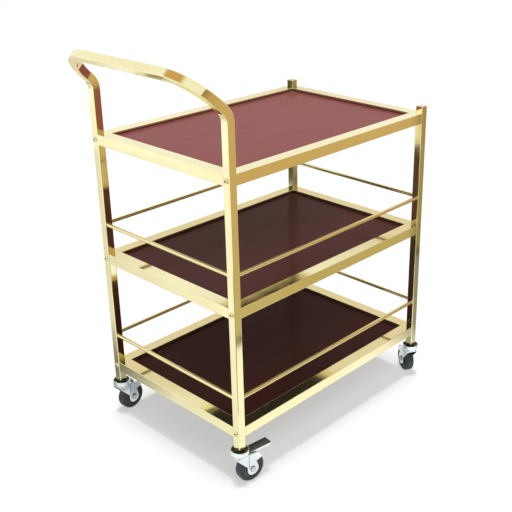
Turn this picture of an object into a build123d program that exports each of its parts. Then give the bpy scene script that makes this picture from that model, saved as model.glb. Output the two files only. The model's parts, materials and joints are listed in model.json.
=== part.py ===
from build123d import *
import os
from math import cos, radians, sin

# Serving trolley. Millimetres, +Z up, the handle end at -X, the floor at z = 0.
# The origin lies on the floor, under the middle of the whole trolley's length and width.

# Frame: outer sizes over the four posts, and the heights that stack up from the floor
tray_length = 740.0
tray_width = 510.0
tray_spacing = 330.0
foot_drop = 60.0
stub_height = 19.0
tiers = ("bottom", "middle", "top")

# Square tube of the posts and the handle
post_side = 22.0
post_wall = 1.5
post_corner = 2.0

# Handle: where the posts start to bend, how far they tilt from upright, and the bow's corners
bend_rise = 116.0
bend_radius = 42.0
handle_tilt = 45.0
arm_straight = 6.0
bow_radius = 100.0

# Caps of the far posts
cap_thickness = 2.0
cap_skirt = 10.0
cap_edge = 0.5

# Rails of the tray frames: rectangular tube, mitred at the corners
rail_width = 33.0
rail_height = 28.0
rail_wall = 1.2
rail_corner = 1.0
rail_setback = 1.0

# Boards and the ledges that carry them
board_thickness = 9.0
board_recess = 8.0
board_clearance = 0.4
board_edge = 0.5
ledge_width = 12.0
ledge_thickness = 3.0

# Guard rods round the two lower trays
rod_diameter = 10.0
rod_rise = 83.0
rod_inset = 7.0
rod_entry = 4.0

# Dome-head screws through the posts, and the plugs in the rails' ends
screw_diameter = 6.0
screw_head_diameter = 14.0
screw_head_height = 3.4
screw_dome = 2.8
socket_width = 5.0
socket_depth = 2.0
plug_length = 20.0
screw_tip_gap = 3.0

# Castor: wheel
wheel_diameter = 75.0
tread_width = 24.0
tread_shoulder = 5.0
tyre_depth = 14.5
hub_rim = 4.0
hub_rim_width = 20.0
hub_web = 6.0
hub_boss_diameter = 20.0
hub_boss_gap = 0.4
axle_diameter = 8.0
sleeve_wall = 2.0

# Castor: fork with its dish-shaped crown
castor_trail = 28.0
fork_gap = 27.0
fork_sheet = 2.5
leg_end_radius = 17.0
fork_tip_share = 0.78
crown_clearance = 6.5
crown_floor_radius = 18.0
crown_rim_radius = 23.5
crown_wall = 2.0
crown_rise = 7.0
crown_lip = 11.0
crown_round = 0.8
front_lap = 18.0
plate_lap = 24.0
hex_width = 13.0
hex_height = 5.0
axle_tip = 2.0

# Castor: stem, swivel bearing and the insert in the post
kingpin_diameter = 12.0
kingpin_flange_diameter = 18.0
kingpin_flange = 2.3
ball_diameter = 5.0
ball_circle_diameter = 28.0
ball_count = 12
race_diameter = 35.0
race_thickness = 3.0
collar_diameter = 26.0
neck_height = 4.0
stem_diameter = 10.0
stem_entry = 30.0
insert_length = 35.0

# Brake pedal: how far its pivot stands behind the swivel, and the pad's length and slope
pivot_back = 30.0
pivot_lift = 4.0
pivot_diameter = 3.6
pivot_boss_diameter = 6.4
lever_width = 22.0
lever_sheet = 2.0
lever_start = 26.0
lever_length = 62.0
lever_lift = 5.5
lever_rise = 0.5
lever_lip = 4.0
shoe_start = 8.0
shoe_length = 6.0
shoe_drop = 3.0
pad_width = 24.0
pad_thickness = 3.2
pad_rib = 2.4
pad_rib_depth = 0.8
pad_edge = 0.6

# Clearances, and one overrun for cuts
running_gap = 0.06
seat_gap = 0.1
free_gap = 0.3
overrun = 1.0


# Heights above the floor
axle_z = wheel_diameter / 2
plate_z = wheel_diameter + crown_clearance
floor_z = plate_z + fork_sheet
dish_z = floor_z + crown_rise
rim_z = dish_z + crown_lip
post_foot_z = rim_z + neck_height
tray_z = {tier: post_foot_z + foot_drop + i * tray_spacing for i, tier in enumerate(tiers)}
bend_z = tray_z["top"] + bend_rise
far_post_z = tray_z["top"] + stub_height - cap_thickness

# How each castor stands turned about its swivel, in degrees from trailing to +X
castor_turns = {"handle_front": -8, "handle_back": 5, "far_front": 60, "far_back": -90}
wheel_radius = wheel_diameter / 2
leg_out = fork_gap / 2 + fork_sheet
fork_tip = castor_trail + fork_tip_share * wheel_radius


def castor_reach(turn):
    """How far a turned castor stands out to +X from its swivel, at its crown or its fork's tip."""
    angle = radians(turn)
    return max(crown_rim_radius, fork_tip * cos(angle) + leg_out * abs(sin(angle)))


# Places in plan. The length runs from the bow's outermost edge to the far castors
tilt = radians(handle_tilt)
bend_shift = bend_radius * (1 - cos(tilt))
bend_height = bend_radius * sin(tilt)
arm_length = arm_straight + bow_radius
tube_half = post_side / 2
bow_half = (tube_half - post_corner) * (cos(tilt) + sin(tilt)) + post_corner
handle_reach = tray_length / 2 - tube_half + bend_shift + arm_length * sin(tilt) + bow_half
far_castor_reach = max(castor_reach(castor_turns[name]) for name in ("far_front", "far_back"))
far_reach = tray_length / 2 + max(screw_head_height, far_castor_reach - tube_half)
mid_x = (handle_reach - far_reach) / 2
half_length = tray_length / 2
half_width = tray_width / 2
handle_x = mid_x - half_length + tube_half
far_x = mid_x + half_length - tube_half
front_y = -half_width + tube_half
back_y = half_width - tube_half
ring_inset = rail_setback + rail_width
guarded_tiers = ("bottom", "middle")

# The posts by name: x, y, and the turn of the castor under each
places = {
    "handle_front": (handle_x, front_y),
    "handle_back": (handle_x, back_y),
    "far_front": (far_x, front_y),
    "far_back": (far_x, back_y),
}
posts = {name: (x, y, castor_turns[name]) for name, (x, y) in places.items()}
braked = ("handle_front", "far_back")

nodes = {}


def tube_section(side, wall, corner):
    outer = RectangleRounded(side, side, corner)
    inner = RectangleRounded(side - 2 * wall, side - 2 * wall, corner - wall)
    return outer - inner


def rod_along(axis, radius, length, centre):
    turn = {"x": (0, 90, 0), "y": (90, 0, 0), "z": (0, 0, 0)}[axis]
    return Pos(*centre) * Rot(*turn) * Cylinder(radius, length)


def box_between(low, high):
    size = [b - a for a, b in zip(low, high)]
    centre = [(a + b) / 2 for a, b in zip(low, high)]
    return Pos(*centre) * Box(*size)


# Posts and handle

def handle_post(x, y):
    """A post that stands on its castor and bends outward above the top tray."""
    rise = Line((x, y, post_foot_z), (x, y, bend_z))
    bend = ThreePointArc(
        (x, y, bend_z),
        (x - bend_radius * (1 - cos(tilt / 2)), y, bend_z + bend_radius * sin(tilt / 2)),
        (x - bend_shift, y, bend_z + bend_height),
    )
    section = Plane((x, y, post_foot_z), x_dir=(1, 0, 0), z_dir=(0, 0, 1)) * tube_section(
        post_side, post_wall, post_corner
    )
    return sweep(section, path=rise + bend)


def far_post(x, y):
    length = far_post_z - post_foot_z
    return Pos(x, y, post_foot_z) * extrude(tube_section(post_side, post_wall, post_corner), length)


def post_holes(x, y):
    """Holes for the frame screws, right through, and for the guard rods, in the inner walls."""
    inward_x = 1 if x < mid_x else -1
    inward_y = 1 if y < 0 else -1
    cuts = []
    for tier in tiers:
        z = tray_z[tier] - rail_height / 2
        cuts.append(rod_along("x", screw_diameter / 2 + seat_gap, post_side + 2 * overrun, (x, y, z)))
    rod_hole = rod_diameter / 2 + seat_gap
    depth = post_wall + 2 * overrun
    off = tube_half - post_wall / 2
    beside = tube_half - rod_inset
    for tier in guarded_tiers:
        z = tray_z[tier] + rod_rise
        cuts.append(rod_along("x", rod_hole, depth, (x + inward_x * off, y - inward_y * beside, z)))
        cuts.append(rod_along("y", rod_hole, depth, (x - inward_x * beside, y + inward_y * off, z)))
    return cuts


def bow():
    """The U that joins the two bends, laid out in the plane that the bends tilt to."""
    foot = (handle_x - bend_shift, 0, bend_z + bend_height)
    plane = Plane(foot, x_dir=(0, 1, 0), z_dir=(cos(tilt), 0, sin(tilt)))
    path = FilletPolyline(
        (front_y, 0), (front_y, arm_length), (back_y, arm_length), (back_y, 0), radius=bow_radius
    )
    section = Plane((front_y, 0, 0), x_dir=(1, 0, 0), z_dir=(0, 1, 0)) * tube_section(
        post_side, post_wall, post_corner
    )
    return plane * sweep(section, path=path)


def post_cap(x, y):
    plate = extrude(RectangleRounded(post_side, post_side, post_corner), cap_thickness)
    plate = chamfer(plate.edges().group_by(Axis.Z)[-1], cap_edge)
    skirt_side = post_side - 2 * post_wall - 2 * seat_gap
    skirt = Pos(0, 0, -cap_skirt) * extrude(
        RectangleRounded(skirt_side, skirt_side, post_corner - post_wall), cap_skirt
    )
    hollow = Pos(0, 0, -cap_skirt / 2 - cap_thickness) * Box(
        skirt_side - 2 * post_wall, skirt_side - 2 * post_wall, cap_skirt
    )
    return Pos(x, y, far_post_z) * (plate + skirt - hollow)


for name, (x, y, turn) in posts.items():
    body = handle_post(x, y) if name.startswith("handle") else far_post(x, y)
    nodes["post_" + name] = [body - post_holes(x, y)]
nodes["handle_bow"] = [bow()]
nodes["post_caps"] = [post_cap(x, y) for n, (x, y, turn) in posts.items() if n.startswith("far")]


# Tray frames: each rail lies along X with its outer side at -Y, then is turned to its side

sides = {
    "front": (half_length, half_width, 0),
    "far_end": (half_width, half_length, 90),
    "back": (half_length, half_width, 180),
    "handle_end": (half_width, half_length, 270),
}


def rail(half_span, half_across):
    """A rail that butts the posts and is mitred where it meets its neighbours."""
    section = RectangleRounded(rail_width, rail_height, rail_corner) - Rectangle(
        rail_width - 2 * rail_wall, rail_height - 2 * rail_wall
    )
    centre_y = -half_across + rail_setback + rail_width / 2
    plane = Plane((-half_span, centre_y, -rail_height / 2), x_dir=(0, 1, 0), z_dir=(1, 0, 0))
    tube = extrude(plane * section, 2 * half_span)
    butt = half_span - post_side
    mitre = half_span - ring_inset
    plan = make_face(Polyline(
        (-butt, -half_across), (butt, -half_across), (butt, -half_across + post_side),
        (mitre, -half_across + ring_inset), (-mitre, -half_across + ring_inset),
        (-butt, -half_across + post_side), close=True,
    ))
    return tube & (Pos(0, 0, -rail_height) * extrude(plan, rail_height))


def board():
    length = tray_length - 2 * ring_inset - 2 * board_clearance
    width = tray_width - 2 * ring_inset - 2 * board_clearance
    slab = Pos(0, 0, -board_recess - board_thickness / 2) * Box(length, width, board_thickness)
    return chamfer(slab.edges().group_by(Axis.Z)[-1], board_edge)


def ledge(half_span, half_across, end_gap):
    """A strip along a rail's inner side, on which the board lies."""
    top = -board_recess - board_thickness
    inner = -half_across + ring_inset
    reach = half_span - ring_inset - end_gap
    return box_between((-reach, inner, top - ledge_thickness), (reach, inner + ledge_width, top))


for tier in tiers:
    level = Pos(mid_x, 0, tray_z[tier])
    strips = []
    for side, (half_span, half_across, turn) in sides.items():
        nodes[f"rail_{tier}_{side}"] = [level * Rot(0, 0, turn) * rail(half_span, half_across)]
        end_gap = ledge_width if "end" in side else 0
        strips.append(level * Rot(0, 0, turn) * ledge(half_span, half_across, end_gap))
    nodes[f"board_{tier}"] = [level * board()]
    nodes[f"ledges_{tier}"] = strips


# Guard rods, each with its ends in the posts' inner walls

def guard_rod(half_span, half_across):
    length = 2 * (half_span - post_side + rod_entry)
    return rod_along("x", rod_diameter / 2, length, (0, -half_across + rod_inset, rod_rise))


for tier in guarded_tiers:
    level = Pos(mid_x, 0, tray_z[tier])
    for side, (half_span, half_across, turn) in sides.items():
        rod = level * Rot(0, 0, turn) * guard_rod(half_span, half_across)
        nodes[f"guard_{tier}_{side}"] = [rod]


# Frame screws and rail plugs, made for the handle end with the head at -X, then mirrored

def frame_screw():
    """A dome-head socket screw with the underside of its head at x = 0, pointing to +X."""
    head = extrude(Circle(screw_head_diameter / 2), screw_head_height)
    head = fillet(head.edges().group_by(Axis.Z)[-1], screw_dome)
    socket = Pos(0, 0, screw_head_height - socket_depth) * extrude(
        RegularPolygon(socket_width / 2, 6, major_radius=False), socket_depth + overrun
    )
    length = post_side + plug_length - screw_tip_gap
    shank = Pos(0, 0, -length / 2) * Cylinder(screw_diameter / 2, length)
    return Rot(0, -90, 0) * (head - socket + shank)


def rail_plug():
    """A threaded block inside a long rail's end, centred on its screw, from x = 0 to +X."""
    width = 2 * (tube_half - rail_setback - rail_wall - seat_gap)
    block = box_between(
        (0, -width / 2, -rail_height / 2 + rail_wall), (plug_length, width / 2, rail_height / 2 - rail_wall)
    )
    return block - rod_along("x", screw_diameter / 2 + seat_gap, 2 * plug_length + overrun, (0, 0, 0))


screws = []
plugs = []
for name, (x, y, castor_turn) in posts.items():
    turn = 0 if x < mid_x else 180
    for tier in tiers:
        place = Pos(x, y, tray_z[tier] - rail_height / 2) * Rot(0, 0, turn)
        screws.append(place * Pos(-tube_half, 0, 0) * frame_screw())
        plugs.append(place * Pos(tube_half, 0, 0) * rail_plug())
nodes["frame_screws"] = screws
nodes["rail_plugs"] = plugs


# Castors: the swivel axis is at x = 0, the floor at z = 0 and the wheel trails to +X

hub_radius = wheel_radius - tyre_depth
axle_radius = axle_diameter / 2
sleeve_radius = axle_radius + seat_gap + sleeve_wall
pivot_z = wheel_diameter + pivot_lift


def turned(points):
    """A ring or disc turned about the Z axis from the points of its half section."""
    return revolve(make_face(Plane.XZ * Polyline(*points, close=True)), Axis.Z)


def castor_insert():
    side = post_side - 2 * post_wall - 2 * seat_gap
    plug = extrude(RectangleRounded(side, side, post_corner - post_wall), insert_length)
    hole = Pos(0, 0, -overrun) * extrude(Circle(stem_diameter / 2 + seat_gap), insert_length + 2 * overrun)
    return Pos(0, 0, post_foot_z) * (plug - hole)


def castor_stem():
    """Kingpin, upper race, collar and threaded stem, all turned in one piece."""
    race_z = floor_z + ball_diameter + 2 * free_gap
    king = kingpin_diameter / 2
    flange_z = plate_z - free_gap
    stem = stem_diameter / 2
    return turned((
        (0, flange_z - kingpin_flange), (kingpin_flange_diameter / 2, flange_z - kingpin_flange),
        (kingpin_flange_diameter / 2, flange_z), (king, flange_z), (king, race_z),
        (race_diameter / 2, race_z), (race_diameter / 2, race_z + race_thickness),
        (collar_diameter / 2, race_z + race_thickness), (collar_diameter / 2, post_foot_z),
        (stem, post_foot_z), (stem, post_foot_z + stem_entry), (0, post_foot_z + stem_entry),
    ))


def swivel_balls():
    z = floor_z + free_gap + ball_diameter / 2
    ring = PolarLocations(ball_circle_diameter / 2, ball_count)
    return [Pos(0, 0, z) * place * Sphere(ball_diameter / 2) for place in ring]


def leg_outline():
    """Side view of the fork's leg, in X and Z: crown, front edge, round end, neck, rear tip."""
    neck_share, neck_height_share = 0.28, 0.52
    tip_height_share = 0.70
    shoulder_share, front_share = 0.48, 0.28
    left = castor_trail - leg_end_radius
    right = castor_trail + leg_end_radius
    return make_face(Plane.XZ * (
        Polyline(
            (left, axle_z), (left, axle_z + front_share * wheel_radius),
            (-front_lap, plate_z - fork_sheet), (-front_lap, floor_z),
            (castor_trail, floor_z), (castor_trail + shoulder_share * wheel_radius, plate_z - fork_sheet),
            (fork_tip, axle_z + tip_height_share * wheel_radius),
            (castor_trail + neck_share * wheel_radius, axle_z + neck_height_share * wheel_radius),
            (right, axle_z),
        )
        + ThreePointArc((right, axle_z), (castor_trail, axle_z - leg_end_radius), (left, axle_z))
    ))


def fork(has_brake):
    """Two pressed legs joined by a top plate, with the crown's dish standing on it."""
    legs = extrude(leg_outline(), leg_out, both=True)
    legs = fillet(legs.edges().filter_by(Axis.X).group_by(Axis.Z)[-1], fork_sheet)
    inside = box_between(
        (-front_lap - overrun, -fork_gap / 2, 0), (castor_trail + wheel_diameter, fork_gap / 2, plate_z)
    )
    behind = box_between(
        (plate_lap, -fork_gap / 2, 0), (castor_trail + wheel_diameter, fork_gap / 2, floor_z + overrun)
    )
    dish = turned((
        (0, plate_z), (crown_floor_radius, plate_z), (crown_rim_radius, dish_z), (crown_rim_radius, rim_z),
        (crown_rim_radius - crown_wall, rim_z), (crown_rim_radius - crown_wall, dish_z + crown_wall / 2),
        (crown_floor_radius - crown_wall / 2, floor_z), (0, floor_z),
    ))
    rounds = dish.edges().filter_by(GeomType.CIRCLE).filter_by(lambda edge: edge.center().Z >= dish_z)
    dish = fillet(rounds, crown_round)
    shape = legs - inside - behind + dish
    shape -= Pos(0, 0, plate_z) * Cylinder(kingpin_diameter / 2 + running_gap, 2 * crown_clearance)
    shape -= rod_along("y", axle_radius + seat_gap, 2 * leg_out + overrun, (castor_trail, 0, axle_z))
    if has_brake:
        hole = pivot_diameter / 2 + running_gap
        shape -= rod_along("y", hole, 2 * leg_out + overrun, (pivot_back, 0, pivot_z))
    return shape


def hexagon(height):
    return extrude(RegularPolygon(hex_width / 2, 6, major_radius=False), height)


def axle():
    """Bolt with its head at -Y, the nut on its far end, and the sleeve that the hub runs on."""
    length = 2 * leg_out + hex_height + axle_tip
    shank = Cylinder(axle_radius, length, align=(Align.CENTER, Align.CENTER, Align.MIN))
    bolt = hexagon(-hex_height) + shank
    nut = Pos(0, 0, 2 * leg_out) * (hexagon(hex_height) - Cylinder(axle_radius + running_gap, 3 * hex_height))
    sleeve = Pos(0, 0, leg_out) * (
        Cylinder(sleeve_radius, fork_gap) - Cylinder(axle_radius + seat_gap, fork_gap + overrun)
    )
    place = Pos(castor_trail, -leg_out, axle_z) * Rot(-90, 0, 0)
    return [place * piece for piece in (bolt, nut, sleeve)]


def on_axle(shape):
    return Pos(castor_trail, 0, axle_z) * Rot(90, 0, 0) * shape


def wheel_hub():
    bore = sleeve_radius + running_gap
    boss = fork_gap / 2 - hub_boss_gap
    rim = hub_rim_width / 2
    web = hub_web / 2
    half = [
        (bore, boss), (hub_boss_diameter / 2, boss), (hub_boss_diameter / 2, web),
        (hub_radius - hub_rim, web), (hub_radius - hub_rim, rim), (hub_radius, rim),
    ]
    return on_axle(turned(half + [(r, -z) for r, z in reversed(half)]))


def tyre():
    ring = Cylinder(wheel_radius, tread_width)
    ring = fillet(ring.edges().filter_by(GeomType.CIRCLE), tread_shoulder)
    return on_axle(ring - Cylinder(hub_radius + seat_gap, tread_width + overrun))


def lever_line(x, offset):
    """Height of the sloping lever at x, measured down or up from the pad's seat."""
    seat = floor_z + lever_lift - lever_sheet
    return seat + (x - lever_start) / lever_length * lever_rise + offset


def slab_between(x_low, x_high, down, up, width):
    """A slab that follows the lever's slope between two places."""
    outline = Polyline(
        (x_low, lever_line(x_low, down)), (x_high, lever_line(x_high, down)),
        (x_high, lever_line(x_high, up)), (x_low, lever_line(x_low, up)), close=True,
    )
    return extrude(make_face(Plane.XZ * outline), width / 2, both=True)


def brake_lever():
    """Sloping plate with side lips, a shoe above the tyre, and the pin that it turns on."""
    end = lever_start + lever_length
    plate = slab_between(lever_start, end, -lever_sheet, 0, lever_width)
    lips = slab_between(lever_start, end, -lever_sheet - lever_lip, 0, lever_width)
    boss = rod_along("y", pivot_boss_diameter / 2, lever_width, (pivot_back, 0, pivot_z))
    ear_outline = Polyline(
        (pivot_back - pivot_boss_diameter / 2, pivot_z), (pivot_back + pivot_boss_diameter / 2, pivot_z),
        (pivot_back + shoe_start, lever_line(pivot_back + shoe_start, -lever_sheet)),
        (lever_start, lever_line(lever_start, -lever_sheet)), close=True,
    )
    ear = extrude(make_face(Plane.XZ * ear_outline), lever_width / 2, both=True)
    channel = lips + boss + ear
    hollow_width = lever_width - 2 * lever_sheet
    channel -= slab_between(lever_start - overrun, end + overrun, -wheel_radius, -lever_sheet, hollow_width)
    shoe = box_between(
        (pivot_back + shoe_start, -hollow_width / 2, pivot_z - shoe_drop),
        (pivot_back + shoe_start + shoe_length, hollow_width / 2,
         lever_line(pivot_back + shoe_start, -lever_sheet / 2)),
    )
    pin = rod_along("y", pivot_diameter / 2, 2 * leg_out + lever_sheet, (pivot_back, 0, pivot_z))
    return plate + channel + shoe + pin


def brake_pad():
    """Grip pad on the lever, ribbed across so that a shoe sole holds on it."""
    end = lever_start + lever_length
    pad = slab_between(lever_start, end, 0, pad_thickness, pad_width)
    pad = fillet(pad.edges().filter_by(Axis.Z), pad_edge)
    ribs = int(lever_length / (2 * pad_rib)) - 1
    pitch = lever_length / (ribs + 1)
    for i in range(ribs):
        x = lever_start + (i + 1) * pitch
        pad -= slab_between(
            x - pad_rib / 2, x + pad_rib / 2, pad_thickness - pad_rib_depth, pad_thickness + overrun,
            pad_width - 2 * pad_rib,
        )
    return pad


stems = []
inserts = []
balls = []
for name, (x, y, turn) in posts.items():
    place = Pos(x, y, 0) * Rot(0, 0, turn)
    stems.append(place * castor_stem())
    inserts.append(Pos(x, y, 0) * castor_insert())
    balls += [place * ball for ball in swivel_balls()]
    nodes["fork_" + name] = [place * fork(name in braked)]
    nodes["axle_" + name] = [place * piece for piece in axle()]
    nodes["wheel_hub_" + name] = [place * wheel_hub()]
    nodes["tyre_" + name] = [place * tyre()]
    if name in braked:
        nodes["brake_lever_" + name] = [place * brake_lever()]
        nodes["brake_pad_" + name] = [place * brake_pad()]
nodes["castor_stems"] = stems
nodes["castor_inserts"] = inserts
nodes["swivel_balls"] = balls


os.makedirs("parts", exist_ok=True)
for name, solids in nodes.items():
    pieces = [piece for solid in solids for piece in solid.solids()]
    export_step(Compound(pieces), f"parts/{name}.step")
print(len(nodes), "nodes")
for name, (x, y, turn) in posts.items():
    print(name, round(x, 3), y, turn)
print("tray tops", tray_z, "post foot", post_foot_z, "mid_x", round(mid_x, 3))
print("reach", round(handle_reach, 3), round(far_reach, 3))
print("bow centre z", round(bend_z + bend_height + arm_length * cos(tilt), 3))
print("axle z", axle_z, "trail", castor_trail, "pivot", pivot_back, pivot_z)
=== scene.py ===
# %% [markdown]
# # A gold serving trolley, dressed in Blender
# The trolley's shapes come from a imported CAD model, which is loaded here as a fixed frame.
# They could be modelled again in Blender, but would then drift away from the CAD sizes and
# joints. So Blender only adds what CAD leaves out: finishes, small dressed parts, light and
# a camera. Everything is in metres, +Z is up, and the floor is at z = 0.

# %% Load the frame
import json
import math
import bmesh
import bpy
from mathutils import Matrix, Vector


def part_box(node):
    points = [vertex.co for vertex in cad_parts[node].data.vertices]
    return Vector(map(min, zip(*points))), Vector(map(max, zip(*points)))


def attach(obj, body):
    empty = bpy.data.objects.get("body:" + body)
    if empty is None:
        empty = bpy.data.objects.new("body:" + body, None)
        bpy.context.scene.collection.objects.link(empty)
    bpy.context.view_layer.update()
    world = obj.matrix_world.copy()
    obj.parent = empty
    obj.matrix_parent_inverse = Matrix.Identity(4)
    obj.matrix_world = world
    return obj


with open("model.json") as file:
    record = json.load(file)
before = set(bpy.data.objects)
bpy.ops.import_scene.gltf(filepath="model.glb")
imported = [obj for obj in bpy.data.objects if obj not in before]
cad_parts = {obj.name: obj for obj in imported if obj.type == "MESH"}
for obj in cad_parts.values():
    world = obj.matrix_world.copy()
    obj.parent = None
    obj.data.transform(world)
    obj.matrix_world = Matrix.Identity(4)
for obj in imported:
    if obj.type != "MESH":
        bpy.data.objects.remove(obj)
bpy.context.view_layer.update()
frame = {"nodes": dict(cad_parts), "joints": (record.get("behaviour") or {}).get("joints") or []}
nodes = frame["nodes"]


# %% [markdown]
# ## The camera
# A product picture like this is taken with a normal lens from a little above the top tray,
# looking at the handle end and one long side. The camera could simply be tilted down, but
# then the posts would lean together in the picture. A small lens shift is used as well,
# as on a studio camera, and keeps them nearly upright.

# %% Set up the camera
picture_size = 512
sensor_width = 36.0
focal_pixels = 881.9
lens_shift = (-0.10, -0.05)
eye = Vector((-1.5719, -1.6096, 1.4417))
gaze = Vector((0.6836, 0.6247, -0.3775)).normalized()
camera_roll = -0.0022

camera_data = bpy.data.cameras.new("studio_camera")
camera_data.sensor_width = sensor_width
camera_data.lens = focal_pixels * sensor_width / picture_size
camera_data.shift_x, camera_data.shift_y = lens_shift
camera = bpy.data.objects.new("studio_camera", camera_data)
bpy.context.scene.collection.objects.link(camera)
bpy.context.scene.camera = camera

level_right = gaze.cross(Vector((0, 0, 1))).normalized()
level_up = level_right.cross(gaze)
right = level_right * math.cos(camera_roll) + level_up * math.sin(camera_roll)
up = level_up * math.cos(camera_roll) - level_right * math.sin(camera_roll)
camera.matrix_world = Matrix.Translation(eye) @ Matrix((right, up, -gaze)).transposed().to_4x4()
print("lens", round(camera_data.lens, 2), "mm, eye at", tuple(round(v, 3) for v in eye))

# %% [markdown]
# ## A finish as a node tree
# Every surface of the trolley gets a material with one Principled shader, which covers
# metal, rubber and laminate alike. Such a tree could be drawn by hand in the shader editor.
# It is written with a few helpers instead, because each finish then takes only a few lines,
# and all of them are built in one way.

# %% Helpers for materials and nodes
def new_finish(name):
    """A material with nothing but its Principled shader."""
    material = bpy.data.materials.new(name)
    material.use_nodes = True
    tree = material.node_tree
    return material, tree, tree.nodes["Principled BSDF"]


def add_node(tree, kind, **settings):
    node = tree.nodes.new(kind)
    for key, value in settings.items():
        setattr(node, key, value)
    return node


def join(tree, source, target):
    tree.links.new(source, target)


def own_place(tree):
    """The place on the piece, in the piece's own coordinates."""
    return add_node(tree, "ShaderNodeTexCoord").outputs["Object"]


print("helpers for materials and nodes ready")

# %% [markdown]
# ## Uneven surfaces
# No real surface is the same all over: metal has haze, laminate has a figure, rubber holds
# dust. This could be painted in an image, but noise in the piece's own coordinates needs no
# unwrapping and stays sharp from close by. One helper gives such a noise, and the other
# spreads a factor over a range of numbers.

# %% Helpers for noise
even = (1, 1, 1)


def stretched_noise(tree, stretch, scale, detail=3.0):
    """Noise that is drawn out along the axes where stretch is small."""
    mapping = add_node(tree, "ShaderNodeMapping")
    mapping.inputs["Scale"].default_value = stretch
    noise = add_node(tree, "ShaderNodeTexNoise")
    noise.inputs["Scale"].default_value = scale
    noise.inputs["Detail"].default_value = detail
    join(tree, own_place(tree), mapping.inputs["Vector"])
    join(tree, mapping.outputs["Vector"], noise.inputs["Vector"])
    return noise.outputs["Fac"]


def spread(tree, factor, low, high, start=0.3, end=0.7):
    """Turns a factor between start and end into a number between low and high."""
    node = add_node(tree, "ShaderNodeMapRange")
    for key, value in (("From Min", start), ("From Max", end), ("To Min", low), ("To Max", high)):
        node.inputs[key].default_value = value
    join(tree, factor, node.inputs["Value"])
    return node.outputs["Result"]


print("noise helpers ready, an even noise is stretched by", even)

# %% [markdown]
# ## Colours and fine relief
# A factor from the noise still has to become something that is seen: a tone between two
# colours, or a relief that is too fine to model. Displacement could raise the relief for
# real, but polishing lines are a hundredth of a millimetre high. A bump only bends the
# light, which is all that can be seen of them.

# %% Helpers for colours and bumps
def blend_colours(tree, factor, first, second):
    node = add_node(tree, "ShaderNodeMix", data_type="RGBA")
    node.inputs["A"].default_value = (*first, 1)
    node.inputs["B"].default_value = (*second, 1)
    join(tree, factor, node.inputs["Factor"])
    return node.outputs["Result"]


def bump_of(tree, height, distance):
    bump = add_node(tree, "ShaderNodeBump")
    bump.inputs["Distance"].default_value = distance
    join(tree, height, bump.inputs["Height"])
    return bump


def raise_surface(tree, shader, height, distance):
    bump = bump_of(tree, height, distance)
    join(tree, bump.outputs["Normal"], shader.inputs["Normal"])
    return bump


print("helpers for colours and bumps ready")

# %% [markdown]
# ## The white studio
# Such a trolley is photographed in a white room. The white could come from strong lamps,
# but pale surfaces would burn out. Here the world is fully white only to the camera, to
# mirrors and to clear pieces, and lights everything else with a tenth of that. Mirrors are
# among them because a polished frame shows its surroundings.

# %% Make the white world
ambient_light = 0.10


def seen_directly(tree):
    """1 for rays from the camera, a mirror or a clear piece, else 0."""
    path = add_node(tree, "ShaderNodeLightPath")
    seen = path.outputs["Is Camera Ray"]
    for other in ("Is Glossy Ray", "Is Transmission Ray"):
        larger = add_node(tree, "ShaderNodeMath", operation="MAXIMUM")
        join(tree, seen, larger.inputs[0])
        join(tree, path.outputs[other], larger.inputs[1])
        seen = larger.outputs["Value"]
    return seen


world = bpy.data.worlds.new("white_studio")
bpy.context.scene.world = world
world.use_nodes = True
sky_tree = world.node_tree
sky = sky_tree.nodes["Background"]
sky.inputs["Color"].default_value = (1, 1, 1, 1)
sky_strength = spread(sky_tree, seen_directly(sky_tree), ambient_light, 1, 0, 1)
join(sky_tree, sky_strength, sky.inputs["Strength"])
bpy.context.scene.view_settings.view_transform = "Standard"
print("white world, ambient light", ambient_light)

# %% [markdown]
# ## The floor
# The floor is one large sheet of white paper. A sheet that is only lit would turn grey far
# from the lamps, so part of its brightness is its own where the camera or a mirror sees it.
# The rest is lit in the usual way, and keeps the shadow under the trolley a soft grey.

# %% Lay the floor
floor_half = 9.0
floor_own_share = 0.44
floor_glow = 1.14
paper_white = (0.92, 0.92, 0.925, 1)


def flat_corners(left, right, front, back, height):
    """A level sheet, seen from above."""
    return [(left, front, height), (right, front, height),
            (right, back, height), (left, back, height)]


floor_mesh = bpy.data.meshes.new("studio_floor")
floor_corners = flat_corners(-floor_half, floor_half, -floor_half, floor_half, 0)
floor_mesh.from_pydata(floor_corners, [], [(0, 1, 2, 3)])
floor = bpy.data.objects.new("studio_floor", floor_mesh)
bpy.context.scene.collection.objects.link(floor)

floor_paint, floor_tree, floor_shader = new_finish("studio_floor")
floor_shader.inputs["Base Color"].default_value = paper_white
floor_shader.inputs["Roughness"].default_value = 1.0
floor_shader.inputs["Specular IOR Level"].default_value = 0.0
glow = add_node(floor_tree, "ShaderNodeEmission")
glow.inputs["Strength"].default_value = floor_glow
blend = add_node(floor_tree, "ShaderNodeMixShader")
own_share = spread(floor_tree, seen_directly(floor_tree), 0, floor_own_share, 0, 1)
join(floor_tree, own_share, blend.inputs["Fac"])
join(floor_tree, floor_shader.outputs["BSDF"], blend.inputs[1])
join(floor_tree, glow.outputs["Emission"], blend.inputs[2])
join(floor_tree, blend.outputs["Shader"], floor_tree.nodes["Material Output"].inputs["Surface"])
floor.data.materials.append(floor_paint)
print("floor", 2 * floor_half, "m square, own share", floor_own_share)

# %% [markdown]
# ## Lamps
# A trolley like this is lit by large soft sources. A broad sun straight overhead gives the
# soft shadow and leaves the lower trays dim. A weak fill from the front reaches in under
# the trays, where it brings out the near part of each board. A softbox at the left turns
# the polished faces of the handle end pale. One lamp could do both jobs, but its image
# would blow out the gold. So reflections see only the softbox, which lights nothing else.

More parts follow.
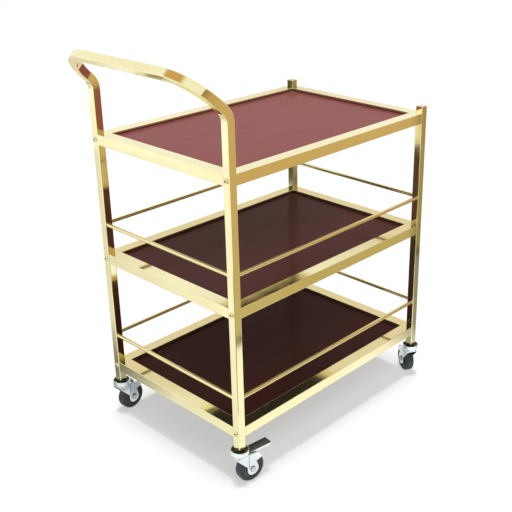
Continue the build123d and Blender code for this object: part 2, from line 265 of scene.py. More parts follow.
# %% Place the lamps
def add_lamp(name, kind, energy, place, target):
    """A lamp at a place, turned to shine on its target."""
    data = bpy.data.lights.new(name, kind)
    data.energy = energy
    lamp = bpy.data.objects.new(name, data)
    lamp.location = place
    lamp.rotation_euler = (Vector(target) - lamp.location).to_track_quat("-Z", "Y").to_euler()
    bpy.context.scene.collection.objects.link(lamp)
    return lamp


sun_energy, sun_angle = 2.75, 12
sun = add_lamp("high_sun", "SUN", sun_energy, (-0.03, 0.02, 3.4), (0, 0, 0))
sun.data.angle = math.radians(sun_angle)
sun.visible_glossy = False

box_width, box_height, box_radiance = 2.6, 1.7, 0.2
box_energy = box_radiance * math.pi * box_width * box_height
softbox = add_lamp("left_softbox", "AREA", box_energy, (-2.1, 1.1, 0.9), (0, 0.1, 0.5))
softbox.data.shape = "RECTANGLE"
softbox.data.size, softbox.data.size_y = box_width, box_height
softbox.visible_diffuse = False

fill_energy, fill_width = 17.0, 1.3
fill = add_lamp("front_fill", "AREA", fill_energy, (-0.75, -1.55, 2.2), (0, 0, 0.5))
fill.data.shape = "DISK"
fill.data.size = fill_width
fill.visible_glossy = False
print("sun", sun_energy, "softbox", round(box_energy, 1), "W, fill", fill_energy, "W")

# %% [markdown]
# ## Cards for the reflections
# Polished metal has no look of its own without something to reflect, so cards stand round
# the trolley. Plain cards could be lit by more lamps, but their tone would then hang on the
# lamps. A card that glows by itself, and that only reflections see, gives exactly the tone
# that is wanted and throws no shadow. It stays at the origin, so its own coordinates are
# the room's.

# %% Helpers for the cards
card_lift = 0.002


def upright_corners(start, end, low, high):
    """A wall from start to end on the floor plan, between two heights."""
    return [(*start, low), (*end, low), (*end, high), (*start, high)]


def reflection_card(name, corners):
    """A card that shows only in reflections, ready for the colour of its glow."""
    mesh = bpy.data.meshes.new(name)
    mesh.from_pydata(corners, [], [tuple(range(len(corners)))])
    card = bpy.data.objects.new(name, mesh)
    bpy.context.scene.collection.objects.link(card)
    for kind in ("camera", "diffuse", "shadow", "transmission", "volume_scatter"):
        setattr(card, "visible_" + kind, False)
    material, tree, shader = new_finish(name)
    mesh.materials.append(material)
    shader.inputs["Base Color"].default_value = (0, 0, 0, 1)
    shader.inputs["Emission Strength"].default_value = 1.0
    return tree, shader.inputs["Emission Color"]


def own_parts(tree):
    """The X, Y and Z of the place on the card."""
    parts = add_node(tree, "ShaderNodeSeparateXYZ")
    join(tree, own_place(tree), parts.inputs["Vector"])
    return parts.outputs


print("card helpers ready, floor cards lie", card_lift * 1000, "mm up")

# %% [markdown]
# ### The warm card
# The long rails and the posts show bands from pale gold to brown, which are the image of a
# warm surface in front of the long side. A row of narrow cards could give the bands. One
# card with a colour ramp over its height has no gaps between them, and it can be dimmer at
# the far end, where the rails are deeper in tone.

# %% Stand the warm card in front
card_front, card_top = -0.776, 1.32
warm_left, warm_right = -0.62, 2.1
dim_start, dim_end, dim_share = 1.07, 1.12, 0.55
warm_stops = (
    (0.0, (0.10, 0.067, 0.037)), (0.02, (0.12, 0.077, 0.046)),
    (0.03, (0.53, 0.435, 0.20)), (0.15, (0.54, 0.425, 0.195)),
    (0.5, (0.61, 0.41, 0.18)), (0.75, (0.60, 0.40, 0.18)),
    (0.88, (0.55, 0.365, 0.145)), (0.97, (0.37, 0.22, 0.088)),
)

warm_corners = upright_corners((warm_left, card_front), (warm_right, card_front), 0, card_top)
tree, glow_colour = reflection_card("warm_card", warm_corners)
parts = own_parts(tree)
tones = add_node(tree, "ShaderNodeValToRGB")
ramp = tones.color_ramp.elements
while len(ramp) < len(warm_stops):
    ramp.new(1.0)
for element, (at, colour) in zip(ramp, warm_stops):
    element.position, element.color = at, (*colour, 1)
join(tree, spread(tree, parts["Z"], 0, 1, 0, card_top), tones.inputs["Fac"])
shade = add_node(tree, "ShaderNodeVectorMath", operation="SCALE")
join(tree, tones.outputs["Color"], shade.inputs[0])
join(tree, spread(tree, parts["X"], 1, dim_share, dim_start, dim_end), shade.inputs["Scale"])
join(tree, shade.outputs["Vector"], glow_colour)
print("warm card with", len(warm_stops), "tones over", card_top, "m")

# %% [markdown]
# ### The amber card overhead
# The handle's sloping tubes look up past the end of the trolley and show a deep amber
# there. A plain card would show with hard edges in tubes that should be smooth. So each of
# its edges fades to white, by a product of one fade for each side.

# %% Hang the amber card
def times(tree, first, second):
    node = add_node(tree, "ShaderNodeMath", operation="MULTIPLY")
    join(tree, first, node.inputs[0])
    join(tree, second, node.inputs[1])
    return node.outputs["Value"]


amber_height, soft_edge = 2.4, 0.32
left, right_end, front, back = -1.8, -0.7, -0.7, 1.05
white, amber = (1, 1, 1), (0.61, 0.365, 0.135)

amber_corners = flat_corners(left, right_end, front, back, amber_height)
tree, glow_colour = reflection_card("ceiling_card", amber_corners)
parts = own_parts(tree)
core = spread(tree, parts["X"], 0, 1, left, left + soft_edge)
for axis, outer, inner in (("X", right_end, right_end - soft_edge),
                           ("Y", front, front + soft_edge),
                           ("Y", back, back - soft_edge)):
    core = times(tree, core, spread(tree, parts[axis], 0, 1, outer, inner))
join(tree, blend_colours(tree, core, white, amber), glow_colour)
print("amber card", amber_height, "m up, edges", soft_edge, "m soft")

# %% [markdown]
# ### Grey cards on the floor
# The lower faces of the frame mirror the floor, and show it grey beside the handle end and
# at the far end of the long side, where the trolley's shadow lies. The floor itself could be
# painted there, but the camera would see that too. So two grey cards just above it carry a
# painted shadow that fades out where the grey ends, and a third one lies in the trolley's
# own shadow.

# %% Lay the grey cards
wheel_foot = (-0.42, 0.50, card_lift)
slant_way = (1.55, 1, 0)
shadow_grey = (0.36, 0.37, 0.38, 1)


def grey_of(tree, factor):
    """A grey whose strength is the factor."""
    return blend_colours(tree, factor, (0, 0, 0), white)


left_corners = flat_corners(-2.6, -0.25, -0.5, 3.4, card_lift)
tree, glow_colour = reflection_card("grey_card_left", left_corners)
place = own_place(tree)
reach = add_node(tree, "ShaderNodeVectorMath", operation="DISTANCE")
reach.inputs[1].default_value = wheel_foot
join(tree, place, reach.inputs[0])
slant = add_node(tree, "ShaderNodeVectorMath", operation="DOT_PRODUCT")
slant.inputs[1].default_value = slant_way
join(tree, place, slant.inputs[0])
# Painted shadow: darkest near the wheel's foot, and greyer towards the trolley.
near_wheel = spread(tree, reach.outputs["Value"], 0.2, 1, 0.08, 0.33)
across_floor = spread(tree, slant.outputs["Value"], 1, 0.76, -1.05, -0.35)
join(tree, grey_of(tree, times(tree, near_wheel, across_floor)), glow_colour)

right_corners = flat_corners(0.4, 1.6, card_front, -0.27, card_lift)
tree, glow_colour = reflection_card("grey_card_right", right_corners)
# Painted shadow: greyer towards the far end of the long side.
along_floor = spread(tree, own_parts(tree)["X"], 1, 0.27, 0.46, 0.66)
join(tree, grey_of(tree, along_floor), glow_colour)

under_corners = flat_corners(-0.36, 0.36, -0.20, 0.24, card_lift)
tree, glow_colour = reflection_card("grey_card_under", under_corners)
glow_colour.default_value = shadow_grey
print("grey cards at the left, at the right and under the trolley")

# %% [markdown]
# ### The beige card behind
# The flat tops of the lower rails and the boards' satin coats mirror what stands low behind
# the trolley. With nothing there they would be as white as the room. A beige wall dulls
# them, and its top fades out, so that the top tray's rails, which look over it, stay bright.

# %% Stand the beige card behind
beige = (0.79, 0.71, 0.60)
beige_top, fade_start, fade_end = 1.1, 0.92, 1.08

beige_corners = upright_corners((-0.33, 1.85), (1.81, -0.51), 0, beige_top)
tree, glow_colour = reflection_card("beige_card_back", beige_corners)
fade_out = spread(tree, own_parts(tree)["Z"], 0, 1, fade_start, fade_end)
join(tree, blend_colours(tree, fade_out, beige, white), glow_colour)
print("beige card", beige_top, "m high")

# %% [markdown]
# ### The dark card in front
# The lowest faces at the near corner mirror the floor in front of it, and show it dark a
# little away from the castor. A floor that is dark all over would also darken the far
# rails. So a quarter of a ring is cut from dark card and laid round the near corner.

# %% Lay the dark fan
fan_inner, fan_outer = 0.3, 1.25
near_foot = Vector((-0.35, -0.266, card_lift))
fan_angles = [math.radians(degrees) for degrees in range(185, 276, 15)]

fan_rim = [(fan_outer, angle) for angle in fan_angles]
fan_rim += [(fan_inner, angle) for angle in reversed(fan_angles)]
fan_corners = [near_foot + Vector((away * math.cos(angle), away * math.sin(angle), 0))
               for away, angle in fan_rim]
tree, glow_colour = reflection_card("dark_card_front", fan_corners)
glow_colour.default_value = (0.16, 0.15, 0.05, 1)
print("dark fan with", len(fan_corners), "corners")

# %% [markdown]
# ### One-sided dark cards
# The guard rods at the far side are a dark olive, because they mirror something dark beside
# the handle end. A common card there would darken the posts next to it as well. These two
# are clear from behind, so only what looks at their fronts sees them. The gap between them
# keeps the middle tray's rails bright.

# %% Stand the one-sided dark cards
olive_dark = (0.05, 0.06, 0.025, 1)
beside_handle, dark_near, dark_far = -0.36, 0.34, 1.6

for low, high in ((0.15, 0.45), (0.50, 1.5)):
    dark_corners = upright_corners((beside_handle, dark_near), (beside_handle, dark_far), low, high)
    tree, glow_colour = reflection_card("dark_card_%d" % round(100 * low), dark_corners)
    glow_colour.default_value = olive_dark
    one_sided = add_node(tree, "ShaderNodeMixShader")
    facing = add_node(tree, "ShaderNodeNewGeometry")
    clear = add_node(tree, "ShaderNodeBsdfTransparent")
    join(tree, facing.outputs["Backfacing"], one_sided.inputs["Fac"])
    join(tree, tree.nodes["Principled BSDF"].outputs["BSDF"], one_sided.inputs[1])
    join(tree, clear.outputs["BSDF"], one_sided.inputs[2])
    join(tree, one_sided.outputs["Shader"], tree.nodes["Material Output"].inputs["Surface"])
    print("dark card from", low, "to", high, "m")

# %% [markdown]
# ## Gold
# The frame is stainless steel tube, polished like a mirror and plated in gold. It could be
# one metal colour with a low roughness, but that looks lifeless. The life is in small
# things: haze that dulls the gloss in patches, hair-fine polishing lines along each piece,
# slight waves, and a deeper tone here and there. Each way the tubes run has its own
# finish, so that the lines follow the tube.

# %% Make the gold finishes
tone_scale = 9.0
haze_scale, haze_range = 23.0, 0.06
line_scale, line_height = 900.0, 0.000008
wave_scale, wave_height = 14.0, 0.00016
bright_gold = ((0.92, 0.86, 0.52), (0.89, 0.82, 0.475))
worn_gold = ((0.79, 0.74, 0.45), (0.77, 0.71, 0.41))
# The rods' deeper amber gold is a painted reflection of the warm surroundings they mirror.
painted_amber_gold = ((0.83, 0.71, 0.37), (0.79, 0.67, 0.33))


def gold_finish(name, line_stretch, tints=bright_gold, gloss=0.05):
    material, tree, shader = new_finish(name)
    shader.inputs["Metallic"].default_value = 1.0
    tone = spread(tree, stretched_noise(tree, even, tone_scale), 0, 1)
    join(tree, blend_colours(tree, tone, *tints), shader.inputs["Base Color"])
    haze = stretched_noise(tree, even, haze_scale, 5.0)
    join(tree, spread(tree, haze, gloss, gloss + haze_range), shader.inputs["Roughness"])
    line_noise = stretched_noise(tree, line_stretch, line_scale, 2.0)
    lines = raise_surface(tree, shader, line_noise, line_height)
    waves = bump_of(tree, stretched_noise(tree, even, wave_scale, 1.0), wave_height)
    join(tree, waves.outputs["Normal"], lines.inputs["Normal"])
    return material


gold = {
    "post": gold_finish("gold_posts", (1, 1, 0.02)),
    "handle": gold_finish("gold_handle", (1, 0.05, 1)),
    "along": gold_finish("gold_along", (0.02, 1, 1)),
    "across": gold_finish("gold_across", (1, 0.02, 1)),
    "small": gold_finish("gold_screws", even, worn_gold, 0.1),
    "rod_along": gold_finish("gold_rods_along", (0.02, 1, 1), painted_amber_gold, 0.10),
    "rod_across": gold_finish("gold_rods_across", (1, 0.02, 1), painted_amber_gold, 0.07),
}
print(len(gold), "gold finishes")

# %% [markdown]
# ## Burgundy boards
# Each board is faced with a burgundy laminate over a fine wood figure. A thin satin coat
# gives it a sheen that is soft enough to blur what it reflects. Where the surface faces down
# it is painted nearly black, as painted shade of the underside, which shows as dark bands in
# the polished rails below it. Two slots could hold the two colours, but one finish that turns
# dark where the surface faces down needs no faces to be picked.

# %% Make the board finishes
light_burgundy, dark_burgundy = (0.215, 0.050, 0.045), (0.185, 0.042, 0.038)
underside_shade_colour = (0.022, 0.015, 0.011)
figure_stretch, figure_scale = (0.9, 14, 14), 6.0
pore_stretch, pore_scale, pore_depth = (0.06, 1, 1), 700.0, 0.00002


def board_finish(name, coat, depth=1.0):
    material, tree, shader = new_finish(name)
    figure = stretched_noise(tree, figure_stretch, figure_scale, 6.0)
    # A depth below 1 darkens the burgundy: painted shade for a board under the trays.
    light, dark = (Vector(tint) * depth for tint in (light_burgundy, dark_burgundy))
    grain = blend_colours(tree, spread(tree, figure, 0, 1), light, dark)
    facing = add_node(tree, "ShaderNodeNewGeometry")
    upward = add_node(tree, "ShaderNodeSeparateXYZ")
    join(tree, facing.outputs["Normal"], upward.inputs["Vector"])
    # Faces that look down turn nearly black: painted shade of the underside.
    faced = add_node(tree, "ShaderNodeMix", data_type="RGBA")
    faced.inputs["A"].default_value = (*underside_shade_colour, 1)
    join(tree, grain, faced.inputs["B"])
    join(tree, spread(tree, upward.outputs["Z"], 0, 1, -0.6, -0.4), faced.inputs["Factor"])
    join(tree, faced.outputs["Result"], shader.inputs["Base Color"])
    shader.inputs["Roughness"].default_value = 0.45
    shader.inputs["Specular IOR Level"].default_value = 0.04
    shader.inputs["Coat Weight"].default_value = coat
    shader.inputs["Coat Roughness"].default_value = 0.10
    raise_surface(tree, shader, stretched_noise(tree, pore_stretch, pore_scale, 2.0), pore_depth)
    return material


# The coat falls from the top board to the bottom one, and the bottom board's colour is halved:
# shaded copies of one laminate, painted for the shade under the trays.
board_gloss = {
    "top": board_finish("laminate_top", 0.16),
    "middle": board_finish("laminate_middle", 0.10),
    "bottom": board_finish("laminate_bottom", 0.04, 0.5),
}
print(len(board_gloss), "board finishes")

# %% [markdown]
# ## Zinc and steel
# Castor forks and levers are pressed steel with a bright zinc coat: it looks bluish white
# and is mottled by tiny crystals. The parts inside the tube are duller. Cells from a
# Voronoi texture could draw the crystals, but at this size they are only a fine mottling,
# so one noise drives the tone, the gloss and the bumps together.

# %% Make the zinc and steel finishes
crystal_scale, crystal_height, crystal_range = 160.0, 0.00003, 0.14


def zinc_finish(name, light, dark, gloss, metal=1.0):
    material, tree, shader = new_finish(name)
    shader.inputs["Metallic"].default_value = metal
    crystals = stretched_noise(tree, even, crystal_scale, 4.0)
    mottling = blend_colours(tree, spread(tree, crystals, 0, 1), light, dark)
    join(tree, mottling, shader.inputs["Base Color"])
    join(tree, spread(tree, crystals, gloss, gloss + crystal_range), shader.inputs["Roughness"])
    raise_surface(tree, shader, crystals, crystal_height)
    return material


bright_zinc = zinc_finish("bright_zinc", (0.90, 0.96, 0.98), (0.80, 0.87, 0.90), 0.14)
bolt_zinc = zinc_finish("bolt_zinc", (0.80, 0.84, 0.88), (0.66, 0.70, 0.75), 0.30, 0.55)
# The dull zinc serves the axle flanges and, as painted shade, the strip behind each fork crease.
dull_zinc = zinc_finish("dull_zinc", (0.36, 0.39, 0.41), (0.24, 0.26, 0.28), 0.35, 0.7)
greased_steel = zinc_finish("greased_steel", (0.20, 0.20, 0.19), (0.10, 0.10, 0.09), 0.30)
ledge_steel = zinc_finish("ledge_steel", (0.55, 0.50, 0.38), (0.45, 0.40, 0.30), 0.35)
print("zinc and steel:", [coat.name for coat in (bright_zinc, bolt_zinc, dull_zinc)])

# %% [markdown]
# ## Rubber and plastic
# The tyres are smooth dark rubber with a trace of dust, the pedal's pad and the boards'
# strips are browner rubbers, and the hubs are moulded plastic. The strips' dark tone, which
# the socket cups share, is painted shade, and the dust caps' dark tone is partly painted
# shade. Each could have a tree of its own, but they differ only in colour, gloss and grain,
# so one function makes them all.

# %% Make the rubber and plastic finishes
dust_scale, dust_range = 60.0, 0.15


def soft_finish(name, clean, dusty, roughness, grain_scale, grain_depth):
    material, tree, shader = new_finish(name)
    dust = stretched_noise(tree, even, dust_scale, 5.0)
    tone = blend_colours(tree, spread(tree, dust, 0, 1), clean, dusty)
    join(tree, tone, shader.inputs["Base Color"])
    join(tree, spread(tree, dust, roughness, roughness + dust_range), shader.inputs["Roughness"])
    raise_surface(tree, shader, stretched_noise(tree, even, grain_scale, 2.0), grain_depth)
    return material


tyre_rubber = soft_finish("tyre_rubber", (0.022, 0.033, 0.039), (0.040, 0.055, 0.063),
                          0.45, 900.0, 0.00006)
# The caps' dark tone is partly painted shade, for the shade in the castors' dishes.
cap_rubber = soft_finish("cap_rubber", (0.045, 0.036, 0.018), (0.075, 0.060, 0.032),
                         0.18, 900.0, 0.00004)
pad_rubber = soft_finish("pad_rubber", (0.070, 0.072, 0.068), (0.095, 0.097, 0.092),
                         0.6, 1200.0, 0.0001)
# Painted shade: the dark tone of the strips round the boards and of the cups in the screws.
gasket_rubber = soft_finish("gasket_rubber", (0.042, 0.020, 0.010), (0.060, 0.030, 0.016),
                            0.5, 800.0, 0.00005)
hub_plastic = soft_finish("hub_plastic", (0.12, 0.13, 0.14), (0.15, 0.16, 0.17),
                          0.4, 1500.0, 0.00003)
print("rubber:", [rubber.name for rubber in (tyre_rubber, cap_rubber, pad_rubber, gasket_rubber)])

# %% [markdown]
# ## Dressing the CAD nodes
# A CAD node keeps its shape and gets its finish here. Each of the nodes could be named with
# its finish, but a node's name already says what it is, so a short table of name starts is
# enough. Only rails and rods also ask which way they run.

# %% Give every node its finish
finish_of = [
    ("post_caps", gold["small"]), ("post_", gold["post"]), ("handle_bow", gold["handle"]),
    ("frame_screws", gold["small"]), ("rail_plugs", bolt_zinc), ("castor_inserts", bolt_zinc),
    ("castor_stems", greased_steel), ("swivel_balls", bolt_zinc), ("fork_", bright_zinc),
    ("axle_", bolt_zinc), ("wheel_hub_", hub_plastic), ("tyre_", tyre_rubber),
    ("brake_lever_", bright_zinc), ("brake_pad_", pad_rubber), ("ledges_", ledge_steel),
    ("board_top", board_gloss["top"]), ("board_middle", board_gloss["middle"]),
    ("board_bottom", board_gloss["bottom"]),
]


def finish_for(name):
    way = "across" if name.endswith("_end") else "along"
    if name.startswith("guard_"):
        return gold["rod_" + way]
    if name.startswith("rail_") and name != "rail_plugs":
        return gold[way]
    return next(finish for start, finish in finish_of if name.startswith(start))


for name, piece in nodes.items():
    for slot in piece.material_slots:
        slot.material = finish_for(name)
print("dressed", len(nodes), "nodes")

# %% [markdown]
# ## Where the castors stand
# A real castor has more on it than its main shapes: a dust cap, creases in its fork,
# flanges, moulded rings and ribs. They could be placed by hand, but the castors stand
# turned in different ways. So each small part is built once, in millimetres about the
# castor's own swivel, and a matrix made from the frame's joints takes it to each castor.

# %% Find the castors
mm = 0.001
joints = {joint["name"]: joint for joint in frame["joints"]}
castors = [name.removeprefix("swivel_") for name in joints if name.startswith("swivel_")]


def castor_place(name):
    """The swivel's place on the floor, with +X along the wheel's trail."""
    swivel = Vector(joints["swivel_" + name]["pos_m"])
    trail = Vector(joints["spin_" + name]["pos_m"]) - swivel
    turn = Matrix.Rotation(math.atan2(trail.y, trail.x), 4, "Z")
    return Matrix.Translation((swivel.x, swivel.y, 0)) @ turn


place_of = {}
for name in castors:
    place = castor_place(name)
    place.translation /= mm
    place_of[name] = place
print("castors", castors)

# %% [markdown]
# ## Shapes as points and faces
# The small parts are turned rings and short pressed forms. Blender's own cylinders and
# modifiers could make them, but a list of points and faces keeps every edge where the real
# part has it. A turned ring takes its outline as points of radius and height, like a
# drawing for a lathe.

# %% Helpers for shapes
turn_steps = 48


def turned_ring(section):
    """A closed ring turned about Z from a section of (radius, height) points."""
    points, faces = [], []
    for step in range(turn_steps):
        angle = 2 * math.pi * step / turn_steps
        points += [(r * math.cos(angle), r * math.sin(angle), z) for r, z in section]
    count = len(section)
    for step in range(turn_steps):
        here, after = step * count, (step + 1) % turn_steps * count
        for i in range(count):
            j = (i + 1) % count
            faces.append((here + i, after + i, after + j, here + j))
    return points, faces


def moved(shape, matrix):
    points, faces = shape
    return [tuple(matrix @ Vector(point)) for point in points], faces


def joined(shapes):
    points, faces = [], []
    for more_points, more_faces in shapes:
        start = len(points)
        points += more_points
        faces += [tuple(start + index for index in face) for face in more_faces]
    return points, faces


print("shape helpers ready,", turn_steps, "steps in a turned ring")

# %% [markdown]
# ## From a shape to a piece
# A piece needs more than its points: faces that all look outward, crisp edges where it was
# pressed or turned, a finish, and the body that carries it when a joint moves. This could
# be done by hand for each piece, but one helper for all of them can't forget a step.

# %% Helper for pieces
crisp_angle = 35


def make_piece(name, shape, material, body):
    """A smooth closed mesh with crisp edges, from a shape in millimetres."""
    points, faces = shape
    mesh = bpy.data.meshes.new(name)
    mesh.from_pydata([tuple(mm * v for v in point) for point in points], [], faces)
    shell = bmesh.new()
    shell.from_mesh(mesh)
    bmesh.ops.recalc_face_normals(shell, faces=shell.faces)
    shell.to_mesh(mesh)
    shell.free()
    mesh.shade_smooth()
    mesh.set_sharp_from_angle(angle=math.radians(crisp_angle))
    mesh.materials.append(material)
    piece = bpy.data.objects.new(name, mesh)
    bpy.context.scene.collection.objects.link(piece)
    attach(piece, body)
    return piece


print("pieces keep edges crisp above", crisp_angle, "degrees")

# %% [markdown]
# ### Dust caps
# Each bearing is closed by a shallow rubber cone round the castor's neck. Its dark tone is
# partly painted shade, for the shade inside the dish round the post's foot. A cone primitive
# would have no rim, so the cap is turned from a section. It stands still with the post while
# the fork's dish turns round it, so it rides on the frame.

# %% Make the dust caps
cap_foot, cap_top = 92.75, 97.5
cap_bore, cap_shoulder = 13.15, 14.4
cap_section = ((cap_bore, cap_foot), (cap_bore, cap_top), (cap_shoulder, cap_top),
               (20.2, 95.0), (20.9, 94.2), (20.9, 93.1), (20.5, cap_foot))
for name in castors:
    cap = make_piece("dust_cap_" + name, moved(turned_ring(cap_section), place_of[name]),
                     cap_rubber, "trolley_frame")
print(len(castors), "dust caps,", len(cap.data.polygons), "faces each")

# %% [markdown]
# ### Dark strips round the boards
# A dark line runs between each board and its rails where the rail's inner wall shows, which is
# shade in the gap. A dark rubber strip that stands on the board against the rail paints that
# shade. A bevelled curve could follow the board, but would pinch at the corners. So a section
# with a hollow top is carried round the board's box and mitred in each corner.

# %% Make the strips of painted shade
rail_gap, strip_width, strip_height, hollow = 0.3, 1.8, 3.8, 0.5
strip_foot = 0.02


def strip_round(low, high, section):
    """A frame round the box from low to high, from a section of (inset, height) points."""
    points, faces = [], []
    for x, y, to_x, to_y in ((low.x, low.y, 1, 1), (high.x, low.y, -1, 1),
                             (high.x, high.y, -1, -1), (low.x, high.y, 1, -1)):
        points += [(x + inset * to_x, y + inset * to_y, high.z + height)
                   for inset, height in section]
    count = len(section)
    for corner in range(4):
        here, after = corner * count, (corner + 1) % 4 * count
        for i in range(count):
            j = (i + 1) % count
            faces.append((here + i, after + i, after + j, here + j))
    return points, faces


strip_section = ((-rail_gap, strip_foot), (-rail_gap, strip_height),
                 (0.3 * strip_width, strip_height - hollow),
                 (0.8 * strip_width, strip_height - 2 * hollow), (strip_width, strip_foot))
tiers = ("bottom", "middle", "top")
for tier in tiers:
    low, high = (Vector(corner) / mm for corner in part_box("board_" + tier))
    # Each strip is painted shade: a dark piece where the gap by the rail lies in shade.
    make_piece("gasket_" + tier, strip_round(low, high, strip_section),
               gasket_rubber, "trolley_frame")
print(len(tiers), "shade_strips,", strip_height, "mm high")

# %% [markdown]
# ### Painted shade in the screws
# The frame screws have round sockets whose depth lies in shade. A dark colour on the screw's
# face could only hint at it, because the socket's walls stay bright gold. A thin dark cup
# inside each socket paints that shade and gives a real depth. All the cups are one piece.

# %% Make the painted shade in the sockets
post_half, head_height = 11.0, 3.4
socket_deep, socket_radius = 2.0, 2.4
cup_wall, cup_foot, cup_middle = 0.2, 0.02, 0.05
cup_rim = 0.85 * socket_deep
cup_bore = socket_radius - cup_wall

cup_section = ((cup_middle, cup_foot), (socket_radius, cup_foot), (socket_radius, cup_rim),
               (cup_bore, cup_rim), (cup_bore, cup_wall), (cup_middle, cup_wall))
cups = []
for tier in tiers:
    rail_low, rail_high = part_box("rail_" + tier + "_front")
    screw_z = (rail_low[2] + rail_high[2]) / 2 / mm
    for name in castors:
        foot = place_of[name].translation
        outward = math.copysign(1, foot.x)
        socket_x = foot.x + outward * (post_half + head_height - socket_deep)
        socket_place = Matrix.Translation(Vector((socket_x, foot.y, screw_z)))
        lying = Matrix.Rotation(outward * math.pi / 2, 4, "Y")
        cups.append(moved(turned_ring(cup_section), socket_place @ lying))
# The dark cups are painted shade in the screws' sockets.
make_piece("socket_grime", joined(cups), gasket_rubber, "trolley_frame")
print(len(cups), "socket cups")

# %% [markdown]
# ### Creases in the fork legs
# Each leg of a fork has a crease pressed into it, which stiffens the sheet. It runs from
# the dish down past the axle, and in front of it the leg leans in towards the wheel. A
# bevelled edge could stand for it, but the real one fades out at both ends. A row of
# cross-sections from the leg's foot to its crown gives that.

# %% Helper for a crease
leg_face, sunk = 16.0, 0.1
leg_front, shoulder_z = 11.0, 48.0
crown_front, crown_z = -18.0, 79.0
crease_foot, crease_top, fade = 43.0, 79.0, 5.0
crease_x, crease_width, crease_height = 13.5, 3.6, 1.5
crease_rows, edge_margin = 19, 0.8
skin, least_lift = 0.03, 0.04


def front_edge(z):
    """The leg's front edge at this height, where the leg slopes forward to its crown."""
    rise = max(0, (z - shoulder_z) / (crown_z - shoulder_z))
    return leg_front + rise * (crown_front - leg_front) + edge_margin


def crease_section(z):
    """Seven points across the crease, from the leg's front edge to its back."""
    fading = min(1, (z - crease_foot) / fade, (crease_top - z) / fade)
    smooth = fading * fading * (3 - 2 * fading)
    lift = crease_height * (least_lift + (1 - least_lift) * smooth)
    front, back = front_edge(z), crease_x + crease_width
    raised = leg_face + lift
    return ((front, leg_face - sunk), (front, leg_face + skin), (crease_x - 1, raised - 0.08),
            (crease_x, raised), (crease_x + 0.8, raised - 0.25 * lift),
            (back, leg_face + skin), (back, leg_face - sunk))


print("crease section at the shoulder:", crease_section(shoulder_z)[:2])

# %% [markdown]
# ### Closing the creases
# The sections are joined to a closed form for each leg. The strip behind the crest lies in
# its shade, and that shade is painted with a second, duller zinc on those faces alone. A dark
# line in the colour could paint it too, but the zinc is sharper and is kept by the exported
# model.

# %% Press the creases
section_points = len(crease_section(crown_z))
shaded_strip = 4


def crease(side):
    points, faces = [], []
    for row in range(crease_rows):
        z = crease_foot + (crease_top - crease_foot) * row / (crease_rows - 1)
        points += [(x, side * y, z) for x, y in crease_section(z)]
    for row in range(crease_rows - 1):
        here, above = row * section_points, (row + 1) * section_points
        for i in range(section_points):
            j = (i + 1) % section_points
            faces.append((here + i, here + j, above + j, above + i))
    last = (crease_rows - 1) * section_points
    faces += [tuple(range(section_points)), tuple(range(last, last + section_points))]
    return points, faces


both_creases = joined([crease(-1), crease(1)])
for name in castors:
    pressing = make_piece("fork_crease_" + name, moved(both_creases, place_of[name]),
                          bright_zinc, "castor_" + name)
    # The strip behind each crest takes the duller zinc, as painted shade.
    pressing.data.materials.append(dull_zinc)
    leg_faces = len(pressing.data.polygons) // 2
    for index, face in enumerate(pressing.data.polygons):
        if len(face.vertices) == 4 and index % leg_faces % section_points == shaded_strip:
            face.material_index = 1
print("creases of", crease_height, "mm on", len(castors), "forks")

# %% [markdown]
# ### Axle flanges and tyre rings
# The bolt's and the nut's flanges are turned rings outside the legs, and the tyre's mould
# leaves two low rings on each side of the rubber. Bumps could fake the rings, but they
# catch the light at their edges, so they are turned in real size about the axle.

# %% Turn the flanges and the rings
axle_trail, axle_height = 28.0, 37.5
lying_down = Matrix.Rotation(math.radians(90), 4, "X")
axle_at = Matrix.Translation((axle_trail, 0, axle_height)) @ lying_down
both_sides = (Matrix.Identity(4), Matrix.Rotation(math.pi, 4, "X"))
ring_foot = 11.9

flange_section = ((7.7, leg_face - sunk), (8.7, leg_face - sunk), (8.6, 16.5), (8.2, 17.0),
                  (7.7, 17.2))
ring_sections = (((30.2, ring_foot), (31.6, ring_foot), (31.3, 12.5), (30.5, 12.5)),
                 ((24.2, ring_foot), (25.2, ring_foot), (25.0, 12.3), (24.4, 12.3)))
flange = turned_ring(flange_section)
tyre_rings = joined([turned_ring(section) for section in ring_sections])
print(len(ring_sections), "tyre rings,", len(tyre_rings[1]), "faces")

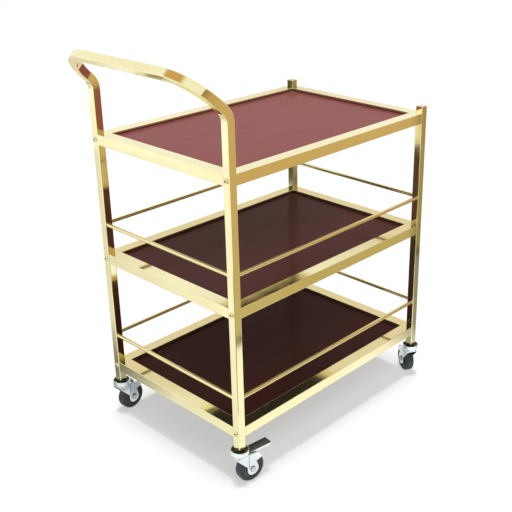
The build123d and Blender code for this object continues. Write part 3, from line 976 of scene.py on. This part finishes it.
# %% [markdown]
# ### Hub ribs
# Six ribs stiffen each side of the hub's web, high at the boss and lower towards the rim.
# Thin boxes could stand for them, but moulded ribs have slanting flanks, so that they come
# out of the mould. Three five-sided sections, joined along the rib, give that form.

# %% Shape the hub ribs
rib_count, rib_inner, rib_outer = 6, 9.8, 19.2
rib_foot, rib_crest, rib_low, rib_shoulder = 1.5, 1.0, 2.8, 0.4
rib_line = ((rib_inner, 9.0), ((rib_inner + rib_outer) / 2, 7.6), (rib_outer, 8.4))


def hub_rib(turn):
    """A rib with slanting flanks on the hub's web."""
    points = []
    for radius, height in rib_line:
        shoulder = height - rib_shoulder
        points += [(radius, -rib_foot, rib_low), (radius, rib_foot, rib_low),
                   (radius, rib_crest, shoulder), (radius, 0, height),
                   (radius, -rib_crest, shoulder)]
    faces = [(0, 1, 2, 3, 4), (14, 13, 12, 11, 10)]
    for start in (0, 5):
        for i in range(5):
            j = (i + 1) % 5
            faces.append((start + i, start + j, start + 5 + j, start + 5 + i))
    return moved((points, faces), Matrix.Rotation(turn, 4, "Z"))


ribs = joined([hub_rib(2 * math.pi * i / rib_count) for i in range(rib_count)])
print(rib_count, "ribs,", len(ribs[1]), "faces")

# %% [markdown]
# ### Fitting the parts to the axles
# Flanges, rings and ribs come in pairs, one on each side of the wheel. Each could be
# mirrored with a modifier, but half a turn about the castor's length does the same and
# leaves a plain mesh. Flanges ride on the fork, and rings and ribs on the wheel.

# %% Fit the parts to the axles
axle_pieces = (
    ("axle_flanges_", flange, dull_zinc, "castor_", "axle_zinc"),
    ("tyre_rings_", tyre_rings, tyre_rubber, "wheel_", "tyre_rubber"),
    ("hub_ribs_", ribs, hub_plastic, "wheel_", "hub_plastic"),
)
for name in castors:
    for start, shape, material, body, slot in axle_pieces:
        pair = joined([moved(shape, place_of[name] @ axle_at @ side) for side in both_sides])
        make_piece(start + name, pair, material, body + name)
print(len(axle_pieces) * len(castors), "pieces round the axles")

# %% [markdown]
# ## The last update
# The dressed model must not be larger than the CAD model. The last step brings every
# piece's place up to date.

# %% Update the scene
bpy.context.view_layer.update()
